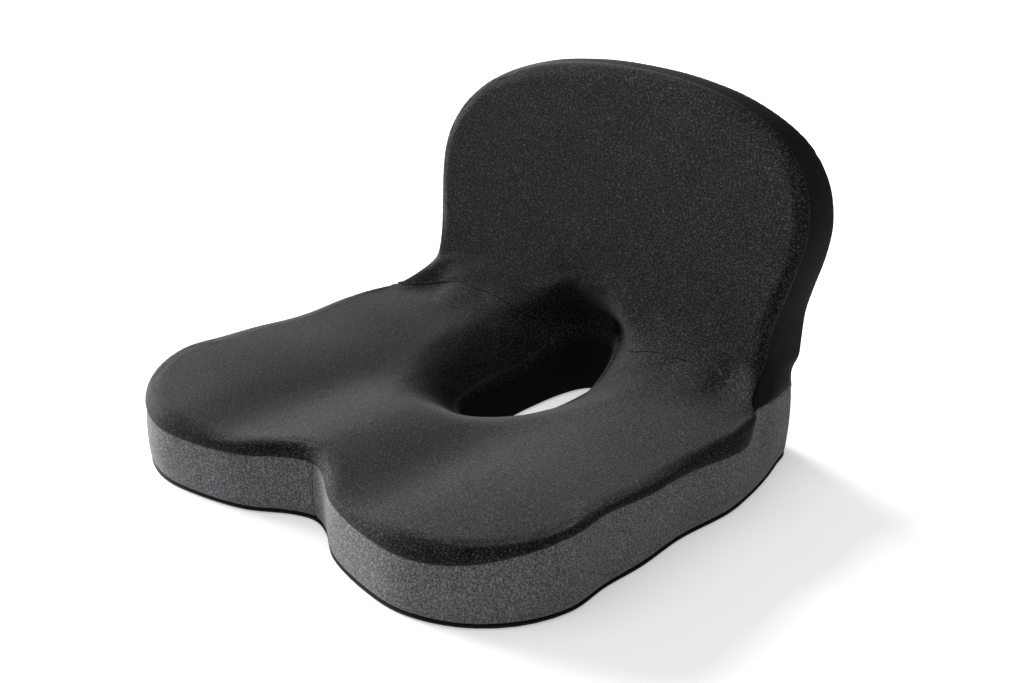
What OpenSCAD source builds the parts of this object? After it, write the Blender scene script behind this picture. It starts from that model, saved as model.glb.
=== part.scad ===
// One-piece foam seat cushion with a low back rest, a tail-bone slot and a zipped two-tone cover.
// The front of the seat faces -Y, Z is up, and the origin is under the middle of the cushion.

/* [Seat] */
// Centre of each thigh lobe, to the side of the middle
lobe_x = 125; // [120:1:130]
// Centre of each thigh lobe, ahead of the middle
lobe_y = -122.5; // [-126:0.5:-118]
// Radius of the thigh lobes
lobe_r = 100; // [96:1:104]
// Front edge of the cushion at the notch between the lobes
notch_y = -180; // [-188:1:-172]
// Half width at the waist
waist_x = 219; // [214:1:222]
// Half width at the hips
hip_x = 223; // [220:1:226]
// Rear wall of the seat
rear_y = 190; // [188:1:192]
// Height of the seat surface away from its hollows
seat_h = 50; // [48:1:54]
// Height of the grey band round the rear of the seat
rear_band_h = 68; // [66:1:70]

/* [Slot] */
// Half width of the slot at its soft rim
rim_a = 38; // [34:1:40]
// Half length of the slot at its soft rim
rim_b = 88; // [80:1:90]
// Middle of the rim, behind the middle of the cushion
rim_y = 78; // [74:1:80]
// Height of the rim above the floor at the front and sides
rim_h = 26; // [24:1:32]
// Half width of the slot at the floor
floor_a = 19; // [16:1:24]
// Half length of the slot at the floor
floor_b = 66; // [60:1:70]
// Middle of the slot at the floor
floor_y = 96; // [92:1:98]

/* [Back rest] */
// Height of the top of the back rest
back_h = 295; // [285:1:305]
// Front of the back rest, 80 mm above the floor
back_y = 145.5; // [143:0.5:147]
// Rearward lean of the back rest for each unit of height
back_lean = 0.207; // [0.18:0.005:0.22]
// Thickness of the back rest near its foot
back_foot_t = 38; // [36:1:42]
// Thickness of the back rest near its top
back_top_t = 21.5; // [20:0.5:26]

/* [Cover] */
// Thickness of the cover cloth with its lining
cloth = 2; // [1.5:0.1:2.5]
// Height of the silicone grip dots under the base cloth
dot_h = 0.8; // [0.6:0.1:1]
// Diameter of a grip dot
dot_d = 12; // [8:1:14]
// Distance between grip dots
dot_pitch = 56; // [50:1:70]

/* [Zip] */
// Half length of the chain of the zip
zip_l = 142; // [120:1:146]
// Height of the zip's centre line
zip_z = 42; // [38:1:46]
// Half width of the opening that the zip closes
zip_gap = 8; // [7:0.5:9]

/* [Hidden] */

knit = "#2a2a2d";
heather = "#5d5d5f";
boxing = "#18181a";
foam_tone = "#e8dfc4";

fit = 0.3;                       // clearance between neighbouring pieces
foam_gap = 1.2;                  // clearance between the foam and its cover
edge_gap = 2.6;                  // extra clearance round the edge of the back rest
relief = 10;                     // extra clearance where the cover bends sharply
base_z = dot_h;                  // underside of the base cloth
foam_z = dot_h + 1.6;            // underside of the foam, on top of the base cloth
binding_h = 3.2;                 // height of the binding round the base
steps = 3;                       // points on each stretch of an outline
rows = 6;                        // rings between the slot and the edge of the seat
zip_end = 150;                   // half length of the opening in the rear band
foot_z = rear_band_h + 0.5;      // lowest edge of the back rest's cover
back_mid = 180;                  // height of the middle of the back rest
sunk_z = 52;                     // lowest edge of the back rest's foam, inside the seat's
spread = [0.4, 0.75, 0.93, 1];   // rings from the middle of the back rest to its edge

// ---- Curves ----

function smooth(a, b, t) = let (u = min(1, max(0, (t - a) / (b - a)))) u * u * (3 - 2 * u);
function bell(t, w) = exp(-t * t / (w * w));
function on_arc(c, r, a) = [c[0] + r * cos(a), c[1] + r * sin(a)];

// A point on the stretch from q to r of the smooth curve through p, q, r, s
function between(p, q, r, s, t) = 0.5 * (2 * q + (r - p) * t + (2 * p - 5 * q + 4 * r - s) * t * t
    + (3 * q - p - 3 * r + s) * t * t * t);
function closed_curve(v) = let (n = len(v)) [for (i = [0:n - 1], k = [0:steps - 1])
    between(v[(i + n - 1) % n], v[i], v[(i + 1) % n], v[(i + 2) % n], k / steps)];
function open_curve(v) = let (n = len(v)) concat([for (i = [0:n - 2], k = [0:steps - 1])
    between(v[max(0, i - 1)], v[i], v[i + 1], v[min(n - 1, i + 2)], k / steps)], [v[n - 1]]);
function mirrored(v) = [for (i = [len(v) - 2:-1:1]) [-v[i][0], v[i][1]]];

// Closed outline moved inwards by t, for a list that runs anticlockwise
function inset(v, t) = let (n = len(v)) [for (i = [0:n - 1])
    let (d = v[(i + 1) % n] - v[(i + n - 1) % n]) v[i] - t * [d[1], -d[0]] / norm(d)];

// ---- Seat ----

seat_half = concat(
    [[0, notch_y], [22, notch_y - 7], [54, notch_y - 27]],
    [for (a = [-105:24:15]) on_arc([lobe_x, lobe_y], lobe_r, a)],
    [[waist_x + 3, -55], [waist_x, -5], [hip_x, 50], [hip_x - 4, 88], [212, 122], [204, 150],
    [197, 172], [180, rear_y - 4]],
    [for (x = [164, 154, 110, 75, 50, 30, 14, 0]) [x, rear_y]]);
seat_plan = closed_curve(concat(seat_half, mirrored(seat_half)));
count = len(seat_plan);
band_end = (len(seat_half) - 7) * steps;
panel_end = (len(seat_half) - 4) * steps;

function slot_at(a, b, mid, q, grow = 0) = let (
    d = q - [0, mid], w = atan2(d[1], d[0]), p = 2.5,
    c = pow(abs(cos(w)) / (a + grow), p) + pow(abs(sin(w)) / (b + grow), p))
    [0, mid] + pow(c, -1 / p) * [cos(w), sin(w)];

// Height of the sewn edge of the seat panel, which steps up beside the back rest
function seam_z(p) = 47 + 5 * bell(p[0], 60) * smooth(-100, -170, p[1])
    + 11 * smooth(150, 215, abs(p[0])) * bell(p[1] + 90, 90) + (rear_band_h - 47) * smooth(84, 108, p[1]);

// Height of the rim of the slot, which climbs towards the back rest
function slot_z(p) = rim_h + 24 * smooth(95, 165, p[1]);

// Height of the seat surface: a ridge between the thighs, a trough for each, and a raised rear
function seat_z(p) = seat_h + 8 * bell(p[0], 42) * smooth(0, -90, p[1])
    - 5 * bell(abs(p[0]) - 105, 55) * bell(p[1] + 90, 100)
    + 7 * smooth(150, 205, abs(p[0])) * bell(p[1] + 60, 110)
    + 15 * smooth(60, 140, p[1]) * smooth(185, 120, abs(p[0]));

function seat_point(k, s, o, drop) = let (
    u = k / rows, p = s + (o - s) * u,
    rise = 1 - pow(1 - min(1, u / 0.42), 2.2), fall = smooth(0.84, 1, u),
    z = slot_z(s) + (seat_z(p) - slot_z(s)) * rise)
    [p[0], p[1], z * (1 - fall) + seam_z(o) * fall - drop];

// The point of the ray from s to o that lies just ahead of the back rest, found by halving
function ahead(s, o, near = 0, far = 1, n = 9) = let (u = (near + far) / 2, p = s + (o - s) * u)
    n == 0 ? p : p[1] > front_y([p[0], 50]) - fit ? ahead(s, o, near, u, n - 1) : ahead(s, o, u, far, n - 1);
function ahead_of_back(s, o) = o[1] <= front_y([o[0], 50]) - fit ? o : ahead(s, o);

module sweep(sections, closed = true) {
    n = len(sections);
    m = len(sections[0]);
    last = closed ? n - 1 : n - 2;
    sides = [for (i = [0:last], j = [0:m - 1], half = [0, 1])
        let (a = i * m + j, b = i * m + (j + 1) % m, c = ((i + 1) % n) * m + (j + 1) % m,
            d = ((i + 1) % n) * m + j) half == 0 ? [a, c, b] : [a, d, c]];
    ends = closed ? [] : [[for (j = [0:m - 1]) j], [for (j = [m - 1:-1:0]) (n - 1) * m + j]];
    polyhedron(points = [for (s = sections, p = s) p], faces = concat(sides, ends), convexity = 8);
}

// Where the sewn edge steps up beside the back rest, the foam stays lower
function beside_back(p) = bell(p[1] - 92, 22) * smooth(150, 180, abs(p[0]));

// The seat as one ring round the slot, t inside its outer surface
module seat_block(t) {
    o = inset(seat_plan, t);
    sweep([for (i = [0:count - 1]) let (
        top = slot_at(rim_a, rim_b, rim_y, o[i], t),
        low = slot_at(floor_a, floor_b, floor_y, o[i], t)) concat(
        [[low[0], low[1], foam_z]],
        [for (k = [0:rows]) seat_point(k, top, o[i], t + relief * beside_back(o[i]))],
        [[o[i][0], o[i][1], foam_z]])]);
}

// ---- Back rest ----

back_half = [[204, foot_z], [196, 80], [190, 98], [190, 122], [194, 148], [200, 178], [200, 206],
    [188, 236], [160, 263], [110, 283], [55, 292], [0, 295]];
function to_height(v) = [for (p = v) [p[0], foot_z + (p[1] - foot_z) * (back_h - foot_z) / (295 - foot_z)]];
back_line = let (v = to_height(back_half)) open_curve(concat(v, mirrored(concat([[0, 0]], v))));
foot_line = [for (x = [-180:20:180]) [x, foot_z]];

// Front face, which sweeps forward at the foot of each wing and is dimpled over the rear of the slot
function front_y(p) = let (u = (p[1] - 80) / 100) back_y + 100 * back_lean * u + 2.3 * u * u
    - 5.7 * pow(p[0] / 200, 2) - 34 * smooth(160, 206, abs(p[0])) * smooth(108, 66, p[1])
    + 24 * bell(p[0], 40) * bell(p[1] - 62, 36);
function rear_face_y(p) = let (u = (p[1] - 80) / 100) back_y + 100 * back_lean * u + 2.3 * u * u
    + back_foot_t + (back_top_t - back_foot_t) * 100 * u / (back_h - 80) + 6 * bell(p[1] - 68, 30);
// The rear edge stands a little outside the front edge, except at the foot
function flared(p) = [p[0] * (1 + 0.03 - 0.13 * smooth(104, 64, p[1])), p[1]];
function front_at(p, t = 0) = [p[0], front_y(p) + t, p[1]];
function rear_at(p, t = 0) = let (q = flared(p)) [q[0], rear_face_y(p) - t, q[1]];
function back_inset(t) = let (v = inset(concat([[206, 50]], back_line, [[-206, 50]]), t))
    [for (i = [1:len(back_line)]) [v[i][0], max(v[i][1], foot_z)]];
back_inner = concat(foot_line, back_inset(cloth + fit));
function shrunk(v, f) = [for (p = v) [p[0] * f, back_mid + (p[1] - back_mid) * f]];

// A closed solid from a stack of rings, with a point at each end
module stack(rings, first, last) {
    n = len(rings);
    m = len(rings[0]);
    sides = [for (i = [0:n - 2], j = [0:m - 1], half = [0, 1])
        let (p = i * m + j, q = i * m + (j + 1) % m, r = (i + 1) * m + (j + 1) % m,
            s = (i + 1) * m + j) half == 0 ? [p, q, r] : [p, r, s]];
    ends = [for (j = [0:m - 1], end = [0, 1])
        end == 0 ? [n * m, (j + 1) % m, j] : [n * m + 1, (n - 1) * m + j, (n - 1) * m + (j + 1) % m]];
    polyhedron(points = concat([for (r = rings, p = r) p], [first, last]), faces = concat(sides, ends),
        convexity = 6);
}

// At the foot of the wings the foam is rounder than the cover, and keeps farther behind it
function wing_foot(p) = (0.4 + 0.6 * smooth(90, 140, abs(p[0]))) * smooth(118, 96, p[1]);

// The back rest inside outline v, t inside its front and rear faces
module back_slab(v, t) {
    c = [0, back_mid];
    stack(concat([for (f = spread) [for (p = shrunk(v, f)) front_at(p, t + relief * wing_foot(p))]],
        [for (k = [len(spread) - 1:-1:0]) [for (p = shrunk(v, spread[k])) rear_at(p, t)]]),
        front_at(c, t), rear_at(c, t));
}

// ---- Nodes ----

module foam_core() {
    t = cloth + foam_gap;
    sunk = [for (x = [-160:20:160]) [x, sunk_z + 7 * bell(x, 45)]];
    color(foam_tone) union() {
        seat_block(t);
        back_slab(concat(sunk, back_inset(t + edge_gap)), t);
    }
}

// The seat panel runs from one side of the slot's rear end, round the front, to the other
module seat_top_panel() {
    color(knit) sweep([for (i = [count - panel_end:count + panel_end]) let (
        o = seat_plan[i % count], s = slot_at(rim_a, rim_b, rim_y, o), e = ahead_of_back(s, o)) concat(
        [for (k = [0:rows]) seat_point(k, s, e, 0)],
        [for (k = [rows:-1:0]) seat_point(k, s, e, cloth)])], false);
}

// The nearer and the farther face of a cloth panel, on the front or the rear of the back rest
function near_face(side, p) = side == "front" ? front_at(p) : rear_at(p, cloth);
function far_face(side, p) = side == "front" ? front_at(p, cloth) : rear_at(p);

module back_panel(side) {
    c = [0, back_mid];
    stack(concat([for (f = spread) [for (p = shrunk(back_inner, f)) near_face(side, p)]],
        [for (k = [len(spread) - 1:-1:0]) [for (p = shrunk(back_inner, spread[k])) far_face(side, p)]]),
        near_face(side, c), far_face(side, c));
}
module back_front_panel() color(knit) back_panel("front");
module back_rear_panel() color(boxing) back_panel("rear");

module slot_lining() {
    color(knit) sweep([for (o = seat_plan) let (
        top = slot_at(rim_a, rim_b, rim_y, o), top_out = slot_at(rim_a, rim_b, rim_y, o, cloth),
        low = slot_at(floor_a, floor_b, floor_y, o), low_out = slot_at(floor_a, floor_b, floor_y, o, cloth),
        z = slot_z(top) - cloth - fit)
        [[low[0], low[1], foam_z], [top[0], top[1], z], [top_out[0], top_out[1], z],
            [low_out[0], low_out[1], foam_z]]]);
}

// The grey side cloth along the outline, from point number first to point number last
module side_band(first, last) {
    inner = inset(seat_plan, cloth);
    low = base_z + binding_h + fit;
    color(heather) sweep([for (i = [first:last]) let (
        p = seat_plan[i % count], q = inner[i % count], z = seam_z(p) - cloth - fit)
        [[q[0], q[1], low], [q[0], q[1], z], [p[0], p[1], z], [p[0], p[1], low]]], false);
}
module side_band_right() side_band(0, band_end);
module side_band_left() side_band(count - band_end, count);

module back_side_band() {
    inner = back_inset(cloth);
    color(boxing) sweep([for (i = [0:len(back_line) - 1]) let (p = back_line[i], q = inner[i])
        [front_at(p), rear_at(p), rear_at(q), front_at(q)]], false);
}

module rear_strip(low, high) {
    translate([fit - zip_end - 4, rear_y - cloth, low]) cube([2 * (zip_end + 4 - fit), cloth, high - low]);
}
module rear_band_lower() color(heather) rear_strip(base_z + binding_h + fit, zip_z - zip_gap);
module rear_band_upper() color(heather) rear_strip(zip_z + zip_gap, rear_band_h);

module slot_plan(t) polygon([for (o = seat_plan) slot_at(floor_a, floor_b, floor_y, o, t)]);

module base_panel() {
    color(boxing) translate([0, 0, base_z]) linear_extrude(foam_z - base_z - 0.1) difference() {
        polygon(inset(seat_plan, 1.6));
        slot_plan(0);
    }
}

module base_binding() {
    color(boxing) translate([0, 0, base_z]) linear_extrude(binding_h) difference() {
        polygon(inset(seat_plan, -0.6));
        polygon(inset(seat_plan, 1.5));
    }
}

// 1 where a ray from q towards +X crosses the edge from a to b
function crosses(a, b, q) = (a[1] > q[1]) != (b[1] > q[1])
    && q[0] < a[0] + (b[0] - a[0]) * (q[1] - a[1]) / (b[1] - a[1]) ? 1 : 0;
function within(v, q) = let (n = len(v), hits = [for (i = [0:n - 1]) crosses(v[i], v[(i + 1) % n], q)])
    ([for (h = hits) 1] * hits) % 2 == 1;

module grip_dots() {
    field = inset(seat_plan, dot_d + 4);
    hole = [for (o = seat_plan) slot_at(floor_a, floor_b, floor_y, o, dot_d + 2)];
    color(boxing) for (row = [-4:4], i = [-5:5]) {
        q = [(i + (row % 2 == 0 ? 0 : 0.5)) * dot_pitch, row * dot_pitch * 0.866];
        if (within(field, q) && !within(hole, q))
            translate([q[0], q[1], 0]) cylinder(h = dot_h - 0.02, d = dot_d, $fn = 48);
    }
}

// ---- Zip ----

coil_y = rear_y - 0.9;           // underside of the coils, on top of the tapes
coil_h = 1.9;
coil_w = 2.6;
coil_slit = 0.2;                 // between the two coils
stop_l = 2.4;                    // length of a stop along the zip
stop_t = 2.2;                    // thickness of a stop
slider_l = 11;                   // length of the slider along the zip
slider_wall = 0.8;
slider_y = coil_y + coil_h + fit;
slider_half = coil_w + coil_slit / 2 + fit + slider_wall;
slider_x = zip_l - slider_l / 2 - 1;
crown_l = 8;                     // length of the crown along the zip
crown_w = 2;
crown_bore = 2.7;                // height of the crown's eye above the slider
pin_r = 0.8;
pin_y = slider_y + slider_wall + 1.6;
pull_t = 1.4;
pull_l = 24;
pull_w = 7;
pull_arm = 1.3;                  // width of each arm of the pull, beside the crown

module zip_tape(side) {
    z = side > 0 ? zip_z + 0.1 : zip_z - zip_gap + 0.1;
    color(boxing) translate([fit - zip_end, coil_y - 0.8, z])
        cube([2 * (zip_end - fit), 0.7, zip_gap - 0.2]);
}
module zip_tape_upper() zip_tape(1);
module zip_tape_lower() zip_tape(-1);

module zip_coil(side) {
    z = side > 0 ? zip_z + coil_slit / 2 : zip_z - coil_slit / 2 - coil_w;
    color(boxing) translate([-zip_l, coil_y, z]) cube([2 * zip_l, coil_h, coil_w]);
}
module zip_coil_upper() zip_coil(1);
module zip_coil_lower() zip_coil(-1);

module zip_stop(side) {
    high = 2 * coil_w + 0.4;
    color("silver") translate([side * (zip_l + 0.7 + stop_l / 2) - stop_l / 2, coil_y, zip_z - high / 2])
        cube([stop_l, stop_t, high]);
}
module zip_stop_left() zip_stop(-1);
module zip_stop_right() zip_stop(1);

// A channel over the coils, with a crown that holds the pull's pin
module zip_slider() {
    h = slider_y + slider_wall - coil_y - 0.1;
    inner = slider_half - slider_wall;
    top = slider_y + slider_wall;
    post = 1.4;
    color("dimgray") translate([slider_x, 0, zip_z]) {
        difference() {
            translate([-slider_l / 2, coil_y + 0.1, -slider_half]) cube([slider_l, h, 2 * slider_half]);
            translate([-slider_l, coil_y - 1, -inner])
                cube([2 * slider_l, slider_y - coil_y + 1, 2 * inner]);
        }
        difference() {
            translate([-crown_l / 2, top - 0.2, -crown_w / 2]) cube([crown_l, crown_bore + 1.2, crown_w]);
            translate([post - crown_l / 2, top, -crown_w])
                cube([crown_l - 2 * post, crown_bore, 2 * crown_w]);
        }
    }
}

// The pull lies along the zip, with its pin under the crown
module zip_pull() {
    inner = crown_w / 2 + fit;
    outer = inner + pull_arm;
    reach = 7;
    color("dimgray") translate([slider_x, pin_y, zip_z]) {
        translate([0, 0, -outer]) cylinder(h = 2 * outer, r = pin_r, $fn = 32);
        for (z = [-outer, inner]) translate([-reach, -pull_t / 2, z]) cube([reach, pull_t, pull_arm]);
        difference() {
            translate([-pull_l, -pull_t / 2, -pull_w / 2]) cube([pull_l - reach + 0.5, pull_t, pull_w]);
            translate([4 - pull_l, -pull_t, 0]) rotate([-90, 0, 0])
                cylinder(h = 2 * pull_t, r = 1.6, $fn = 32);
        }
    }
}

// A blank ribbon that hangs from the lower edge of the zip
module care_label() {
    size = [20, 0.5, 26];
    color("white") translate([-128, rear_y + fit, zip_z - zip_gap - size[2] - 1]) cube(size);
}

foam_core();
seat_top_panel();
back_front_panel();
slot_lining();
side_band_left();
side_band_right();
back_side_band();
back_rear_panel();
rear_band_upper();
rear_band_lower();
base_panel();
base_binding();
grip_dots();
zip_tape_upper();
zip_tape_lower();
zip_coil_upper();
zip_coil_lower();
zip_stop_left();
zip_stop_right();
zip_slider();
zip_pull();
care_label();
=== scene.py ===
"""One-piece foam seat cushion with a two-tone cover: the looks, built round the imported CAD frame."""
import math

import bmesh
import bpy
import numpy as np
from mathutils import Matrix, Vector, noise
from mathutils.kdtree import KDTree


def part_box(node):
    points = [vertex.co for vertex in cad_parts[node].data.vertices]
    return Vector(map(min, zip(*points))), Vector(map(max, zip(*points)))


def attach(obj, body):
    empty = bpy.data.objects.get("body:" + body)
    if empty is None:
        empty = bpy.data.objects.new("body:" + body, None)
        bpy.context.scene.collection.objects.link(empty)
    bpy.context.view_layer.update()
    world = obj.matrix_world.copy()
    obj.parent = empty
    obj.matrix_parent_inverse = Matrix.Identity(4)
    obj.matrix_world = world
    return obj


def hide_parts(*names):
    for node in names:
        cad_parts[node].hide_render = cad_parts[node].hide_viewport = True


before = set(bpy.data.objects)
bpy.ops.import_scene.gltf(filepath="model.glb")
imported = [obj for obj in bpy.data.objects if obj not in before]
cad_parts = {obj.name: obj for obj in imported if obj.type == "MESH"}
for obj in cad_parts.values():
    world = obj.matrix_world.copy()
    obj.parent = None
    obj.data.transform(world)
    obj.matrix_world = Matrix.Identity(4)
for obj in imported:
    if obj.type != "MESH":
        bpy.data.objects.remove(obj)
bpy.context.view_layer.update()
MM = 0.001


def box_mm(node):
    return [np.array(corner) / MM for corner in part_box(node)]


foam_lo = box_mm("foam_core")[0]
band_lo, band_hi = box_mm("side_band_right")
back_top = box_mm("back_side_band")[1]
slot_lo, slot_hi = box_mm("slot_lining")
bind_lo = box_mm("base_binding")[0]
tape_lo, tape_hi = box_mm("zip_tape_lower")
coil_lo, coil_hi = box_mm("zip_coil_lower")
dots_hi = box_mm("grip_dots")[1]
label_lo, label_hi = box_mm("care_label")

# ---------------------------------------------------------------- curves


def smooth(a, b, t):
    u = np.clip((np.asarray(t, float) - a) / (b - a), 0, 1)
    return u * u * (3 - 2 * u)


def bell(t, w):
    return np.exp(-((np.asarray(t, float) / w) ** 2))


def spline(points, per, closed):
    """Catmull-Rom curve through the points, with per samples on each stretch."""
    p = np.asarray(points, float)
    n = len(p)
    out = []
    for i in range(n if closed else n - 1):
        ids = [i - 1, i, i + 1, i + 2]
        a, b, c, d = (p[k % n] if closed else p[min(max(k, 0), n - 1)] for k in ids)
        for t in np.arange(per) / per:
            out.append(0.5 * (2 * b + (c - a) * t + (2 * a - 5 * b + 4 * c - d) * t**2
                              + (3 * b - a - 3 * c + d) * t**3))
    if not closed:
        out.append(p[-1])
    return np.array(out)


def length_along(points):
    """How far along a curve each of its points lies."""
    return np.concatenate([[0], np.cumsum(np.linalg.norm(np.diff(points, axis=0), axis=1))])


def even(points, count, closed=False):
    """The same curve with count points spaced evenly along it."""
    p = np.vstack([points, points[:1]]) if closed else np.asarray(points)
    run = length_along(p)
    at = np.linspace(0, run[-1], count + 1)[:-1] if closed else np.linspace(0, run[-1], count)
    return np.stack([np.interp(at, run, p[:, k]) for k in range(p.shape[1])], 1)


def outward(v):
    """Unit normals of an anticlockwise closed plan curve."""
    d = np.roll(v, -1, 0) - np.roll(v, 1, 0)
    d /= np.linalg.norm(d, axis=1)[:, None]
    return np.stack([d[:, 1], -d[:, 0]], 1)


def edge_spacing(count, share=0.5):
    """count values from 0 to 1, closer together at both ends."""
    t = np.linspace(0, 1, count)
    return (1 - share) * t + share * (0.5 - 0.5 * np.cos(np.pi * t))


# ---------------------------------------------------------------- the cushion's shape, in mm

LOBE_R = 100
REAR_Y = band_hi[1]
NOTCH_Y = -180
WAIST_X, HIP_X = 219, 223
RIM_Y = (slot_lo[1] + slot_hi[1]) / 2
RIM_A, RIM_B, RIM_Z = 38, 88, 26
FLOOR_A, FLOOR_B, FLOOR_Y = 19, 66, 96
FLOOR_Z = 1.2
SEAM_Z = 49
REAR_BAND_Z = 68
BACK_TOP = back_top[2]
EDGE_R = 8.5
SLIT = coil_hi[2] + 0.1
COUNT = 480         # points round the outline
CREASE = 1.5        # how far a sewn edge is drawn in
SLOT_POWER = 2.5    # squareness of the slot's plan
STEP = 0.2          # for slopes found by difference


def seat_outline():
    lobe = np.array([band_hi[0] - LOBE_R, band_lo[1] + LOBE_R])
    arc = [lobe + LOBE_R * np.array([math.cos(a), math.sin(a)])
           for a in np.radians(np.arange(-105, 16, 24))]
    half = [[0, NOTCH_Y], [22, NOTCH_Y - 7], [54, NOTCH_Y - 27], *arc, [WAIST_X + 3, -55], [WAIST_X, -5],
            [HIP_X, 50], [HIP_X - 4, 88], [212, 122], [204, 150], [197, 172], [180, REAR_Y - 4]]
    half += [[x, REAR_Y] for x in (164, 154, 110, 75, 50, 30, 14)]
    other = [[-x, y] for x, y in half[:0:-1]]
    return even(spline([*half, [0, REAR_Y], *other], 24, True), COUNT, True)


PLAN = seat_outline()
NORMAL = outward(PLAN)


def pinch(y):
    """How far the top of the band is drawn in where all the seams meet, beside the back rest's foot."""
    return 7 * bell(y - 107, 24)


TOP = PLAN - NORMAL * (pinch(PLAN[:, 1]) * smooth(150, 190, np.abs(PLAN[:, 0])))[:, None]


def slot_at(a, b, mid, q):
    """The point of a slot's outline, of half width a and half length b, on the ray to each point of q."""
    w = np.arctan2(q[:, 1] - mid, q[:, 0])
    r = ((np.abs(np.cos(w)) / a) ** SLOT_POWER + (np.abs(np.sin(w)) / b) ** SLOT_POWER) ** (-1 / SLOT_POWER)
    return np.stack([r * np.cos(w), mid + r * np.sin(w)], 1)


def seam_z(x, y):
    """Height of the sewn edge between the top and the grey band."""
    side = smooth(148, 212, np.abs(x))
    z = (SEAM_Z + 4 * bell(x, 60) * smooth(-100, -170, y)
         + side * (15 * bell(y + 118, 85) + 7 * bell(y - 10, 75)))
    return z + (REAR_BAND_Z - z) * smooth(78, 106, y)


def rim_z(y):
    return RIM_Z + 24 * smooth(95, 165, y)


def open_z(x, y):
    """Height of the seat's surface, away from its rolled edges and the slot."""
    side = smooth(70, 216, np.abs(x))
    z = 63 + 2 * bell(x, 36) * smooth(0, -100, y)
    z = z - 4.5 * bell(np.abs(x) - 78, 40) * smooth(60, -60, y)
    z = z + side * (5.5 * bell(y + 110, 75) + 4 * bell(y - 45, 50))
    z = z - 10 * np.exp(-((x / 105) ** 2) - ((y - 45) / 95) ** 2)
    return z + 8 * smooth(70, 140, y) * smooth(190, 130, np.abs(x)) + 2 * side * smooth(60, 100, y)


def seat_z(x, y):
    """The seat's surface with the funnel that leads down into the slot."""
    q = np.stack([np.ravel(x), np.ravel(y)], 1)
    rim = slot_at(RIM_A, RIM_B, RIM_Y, q)
    far = np.hypot(q[:, 0], q[:, 1] - RIM_Y)
    start = np.hypot(rim[:, 0], rim[:, 1] - RIM_Y)
    u = np.clip((far - start) / 75, -0.3, 1).reshape(np.shape(x))
    rise = 1 - np.clip(1 - u, 0, 1.3) ** 2.3
    low = rim_z(y)
    return low + (open_z(x, y) - low) * rise


def lean_y(z):
    u = (z - 80) / 100
    return 145.5 + 20.7 * u + 2.3 * u * u


def foot(x, z):
    """1 at the lowest corners of the back rest, where its seams meet the band."""
    return smooth(156, 204, np.abs(x)) * smooth(96, 64, z)


def front_seam_y(x, z):
    return lean_y(z) - 5.7 * (x / 200) ** 2 - 34 * foot(x, z)


def front_face_y(x, z):
    """Front of the back rest, away from its rolled edge, hollowed over the rear of the slot."""
    width = 48 - 14 * smooth(60, 100, z)
    hollow = 42 * np.exp(-((np.abs(x) / width) ** 3)) * bell(np.maximum(z - 55, 0), 36)
    return front_seam_y(x, z) - EDGE_R * (1 - foot(x, z)) + hollow


def rear_seam_y(x, z):
    return lean_y(z) - 5.7 * (x / 200) ** 2 + 38 - 16.5 * (z - 80) / (BACK_TOP - 80) + 6 * bell(z - 68, 30)


def fillet(x):
    """Radius of the soft bend between seat and back rest."""
    return 34 - 27 * smooth(150, 206, np.abs(x)) - 16 * bell(x, 34)


def air(x, y, z):
    """Over 0 in the open, under 0 in the foam, for the seat and the back rest together."""
    a, b, r = z - seat_z(x, y), (front_face_y(x, z) - y) * 0.97, fillet(x)
    h = np.clip(0.5 + 0.5 * (b - a) / r, 0, 1)
    return b * (1 - h) + a * h - r * h * (1 - h)


def settle(p, axis, steps=14):
    """Moves points along one axis on to the cushion's surface."""
    p = np.array(p, float)
    shift = np.zeros(3)
    shift[axis] = STEP
    sign = 1 if axis == 2 else -1
    for _ in range(steps):
        f = air(*np.moveaxis(p, -1, 0))
        g = (air(*np.moveaxis(p + shift, -1, 0)) - f) / STEP * sign
        p[..., axis] -= sign * np.clip(f / np.maximum(g, 0.25), -6, 6)
    return p


def valley_curve():
    """The seam where seat and back rest meet: it runs along the middle of the bend."""
    x = np.linspace(0, 208, 209)
    y, z = np.full_like(x, 120.0), np.full_like(x, 66.0)
    for _ in range(200):
        ahead = front_face_y(x, z) - y
        p = settle(np.stack([x, y, z], 1), 2, 3)
        z = p[:, 2]
        y = y + 0.25 * (ahead - (z - seat_z(x, y)))
    return x, y, z


VALLEY_X, VALLEY_Y, VALLEY_Z = valley_curve()


def valley_y(x):
    return np.interp(np.abs(x), VALLEY_X, VALLEY_Y)


def valley_z(x):
    return np.interp(np.abs(x), VALLEY_X, VALLEY_Z)


FOOT_X, FOOT_Y, FOOT_Z = VALLEY_X[-1], VALLEY_Y[-1], VALLEY_Z[-1]
BACK_HALF = [[FOOT_X, FOOT_Z], [200.5, 71], [192.5, 82], [188, 98], [188.5, 122], [194, 148], [200, 178],
             [200, 206], [188, 236], [160, 263], [110, 283], [55, 292.5], [0, BACK_TOP]]
BACK_EDGE = even(spline(BACK_HALF + [[-x, z] for x, z in BACK_HALF[-2::-1]], 24, False), 361)
SHOULDER = 96       # point of the outline where its side ends and its top begins
REAR_HALF = TOP[(TOP[:, 0] >= 0) & (TOP[:, 1] > 150)]
REAR_HALF = REAR_HALF[np.argsort(REAR_HALF[:, 0])]


def rear_y(x, z):
    """The rear edge of the back rest, which ends on the band's outline at its foot."""
    low = np.interp(np.abs(x), REAR_HALF[:, 0], REAR_HALF[:, 1]) - CREASE
    high = rear_seam_y(x, z)
    return high + (low - high) * smooth(98, REAR_BAND_Z - CREASE, z)


def flared(x, z):
    """The back rest's outline at its rear, a little wider than at its front."""
    even_flare = 1.03 * np.abs(x)
    wide = even_flare + 3 * bell(z - 108, 22) - 16 * smooth(92, 64, z)
    return np.sign(x) * np.where(np.abs(x) > 60, wide, even_flare)


# ---------------------------------------------------------------- meshes


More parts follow.
